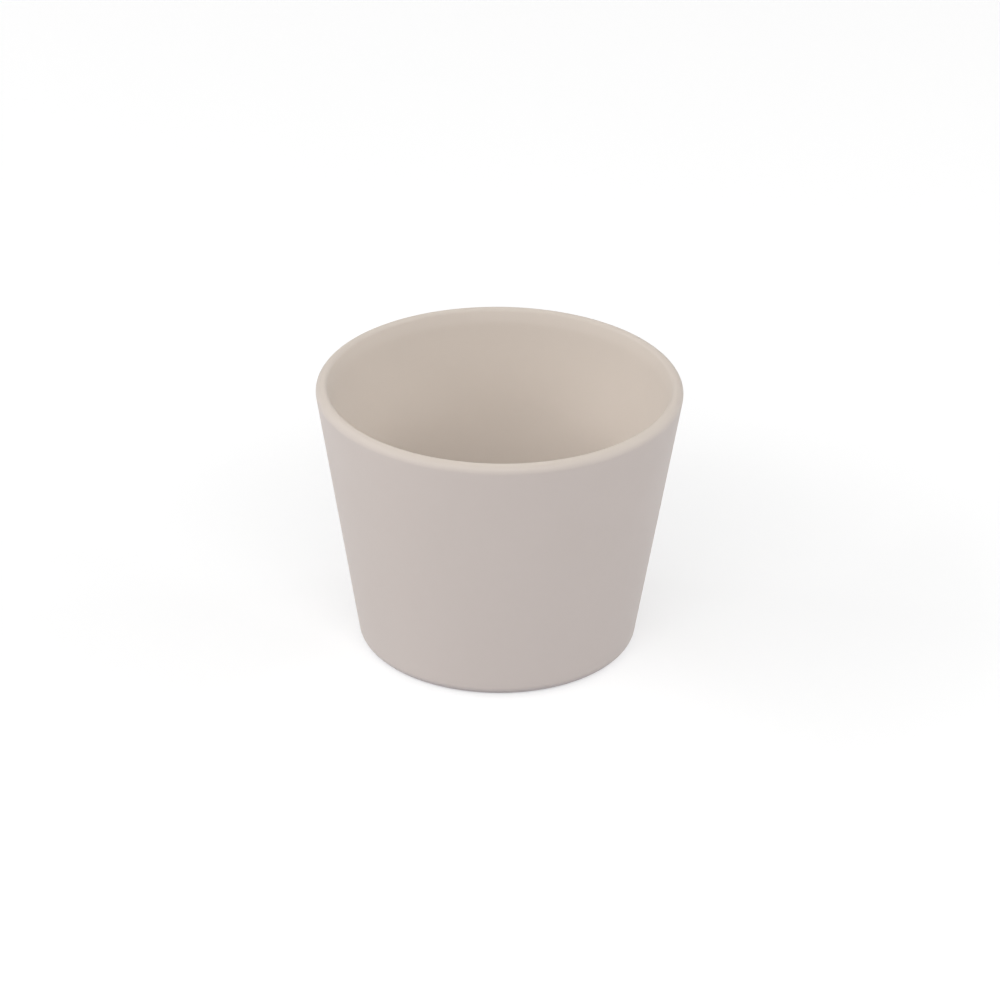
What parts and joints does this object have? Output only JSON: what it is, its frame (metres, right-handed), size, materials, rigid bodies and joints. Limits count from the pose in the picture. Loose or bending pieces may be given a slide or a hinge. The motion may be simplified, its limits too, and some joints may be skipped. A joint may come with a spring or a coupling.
{
  "type": "conical bowl",
  "caption": "Open conical bowl in ivory plastic, with a straight flaring wall, a rounded rim and base corner, and a flat ring underneath to stand on.",
  "frame": {"origin": "centre of the face that the bowl stands on, on the bowl's axis", "axes": "+Z along the bowl's axis, out of its open mouth; X and Y are any two level directions, as the bowl is round"},
  "size_m": [0.08, 0.08, 0.061],
  "materials": {
    "ivory_plastic": "satin"
  },
  "bodies": {
    "root": {"bowl": "ivory_plastic"}
  },
  "joints": []
}
